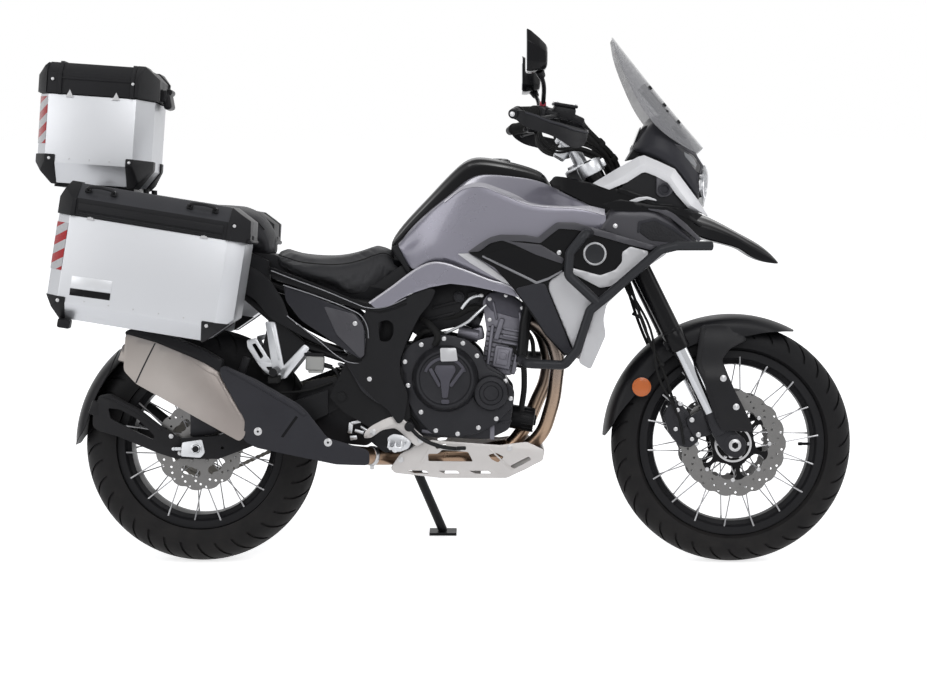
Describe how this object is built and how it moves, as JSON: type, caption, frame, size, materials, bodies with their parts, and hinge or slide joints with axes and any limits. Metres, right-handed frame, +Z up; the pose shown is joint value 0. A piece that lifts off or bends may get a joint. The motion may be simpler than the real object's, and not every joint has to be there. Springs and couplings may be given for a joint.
{
  "type": "adventure motorcycle",
  "caption": "Adventure motorcycle with spoked wheels, windscreen, crash bars, hinged aluminium top and side cases, parked on a side stand.",
  "frame": {"origin": "on the floor under the middle of the bounding box", "axes": "+X forward, +Y to the rider's left (level, across the leaning bike), +Z up"},
  "size_m": [2.2078, 1.0712, 1.4742],
  "materials": {
    "tyre_rubber": "matt black",
    "rim_black": "satin black",
    "spoke_steel": "bright",
    "hub_black": "satin black",
    "disc_steel": "brushed",
    "black_metal": "satin black",
    "fork_chrome": "polished legs, dark lower castings",
    "bare_aluminium": "satin",
    "black_plastic": "fine grain",
    "gloss_black": "gloss",
    "grip_rubber": "matt",
    "frame_black": "satin black",
    "engine_grey": "cast grey",
    "cover_black": "satin",
    "exhaust_steel": "heat tinted",
    "silencer_steel": "brushed",
    "tank_grey": "metallic gloss",
    "seat_cover": "grained",
    "silver_plastic": "silver paint",
    "screen_clear": "light grey tint",
    "lamp_lens": "smoked",
    "case_aluminium": "satin",
    "spring_steel": "satin",
    "chain_steel": "oiled"
  },
  "bodies": {
    "chassis": {"main_frame": "frame_black", "subframe": "frame_black", "engine_block": "engine_grey", "engine_covers": "cover_black", "radiator": "cover_black", "exhaust_pipes": "exhaust_steel", "silencer": "silencer_steel", "heat_shield": "black_plastic", "swingarm": "black_metal", "shock_absorber": "spring_steel", "drive_chain": "chain_steel", "rear_caliper": "black_metal", "rear_mudguard": "black_plastic", "fuel_tank": "tank_grey", "rider_seat": "seat_cover", "passenger_seat": "seat_cover", "side_covers": "black_plastic", "tail_cover": "black_plastic", "instrument_panel": "black_plastic", "headlight": "lamp_lens", "side_fairings": "silver_plastic", "beak": "gloss_black", "windscreen": "screen_clear", "radiator_shrouds": "silver_plastic", "crash_bars": "frame_black", "skid_plate": "bare_aluminium", "luggage_racks": "frame_black", "foot_controls": "bare_aluminium", "panniers": "case_aluminium", "top_case": "case_aluminium"},
    "steering": {"fork_outer_tubes": "black_metal", "fork_sliders": "fork_chrome", "triple_clamps": "bare_aluminium", "handlebar": "black_metal", "levers": "black_metal", "hand_guards": "black_plastic", "mirrors": "gloss_black", "front_mudguard": "black_plastic", "front_calipers": "black_metal", "brake_hoses": "grip_rubber"},
    "front_wheel": {"front_tyre": "tyre_rubber", "front_rim": "rim_black", "front_spokes": "spoke_steel", "front_hub": "hub_black", "front_discs": "disc_steel"},
    "rear_wheel": {"rear_tyre": "tyre_rubber", "rear_rim": "rim_black", "rear_spokes": "spoke_steel", "rear_hub": "hub_black", "rear_disc": "disc_steel", "rear_sprocket": "disc_steel"},
    "side_stand": {"side_stand": "black_metal"},
    "top_case_lid": {"top_case_lid": "case_aluminium"},
    "left_pannier_lid": {"left_pannier_lid": "case_aluminium"},
    "right_pannier_lid": {"right_pannier_lid": "case_aluminium"}
  },
  "joints": [
    {"name": "steering", "type": "hinge", "parent": "chassis", "child": "steering", "pos_m": [0.72886, -0.10038, 0.30399], "axis": [-0.4462, 0.1246, 0.8862], "range_deg": [-35, 35]},
    {"name": "front_wheel_spin", "type": "hinge", "parent": "steering", "child": "front_wheel", "pos_m": [0.7745, -0.09721, 0.32653], "axis": [0, 0.9903, -0.1392], "continuous": true},
    {"name": "rear_wheel_spin", "type": "hinge", "parent": "chassis", "child": "rear_wheel", "pos_m": [-0.6805, -0.09833, 0.31861], "axis": [0, 0.9903, -0.1392], "continuous": true},
    {"name": "side_stand_fold", "type": "hinge", "parent": "chassis", "child": "side_stand", "pos_m": [-0.113, 0.0557, 0.25051], "axis": [0, 0.9781, 0.2079], "range_deg": [0, 100]},
    {"name": "top_case_lid_hinge", "type": "hinge", "parent": "chassis", "child": "top_case_lid", "pos_m": [-1.0954, 0.03462, 1.26455], "axis": [0, -0.9903, 0.1392], "range_deg": [0, 95]},
    {"name": "left_pannier_lid_hinge", "type": "hinge", "parent": "chassis", "child": "left_pannier_lid", "pos_m": [-0.50461, -0.02105, 0.86847], "axis": [0, 0.9903, -0.1392], "range_deg": [0, 95]},
    {"name": "right_pannier_lid_hinge", "type": "hinge", "parent": "chassis", "child": "right_pannier_lid", "pos_m": [-0.50461, -0.02105, 0.86847], "axis": [0, 0.9903, -0.1392], "range_deg": [0, 95]}
  ]
}
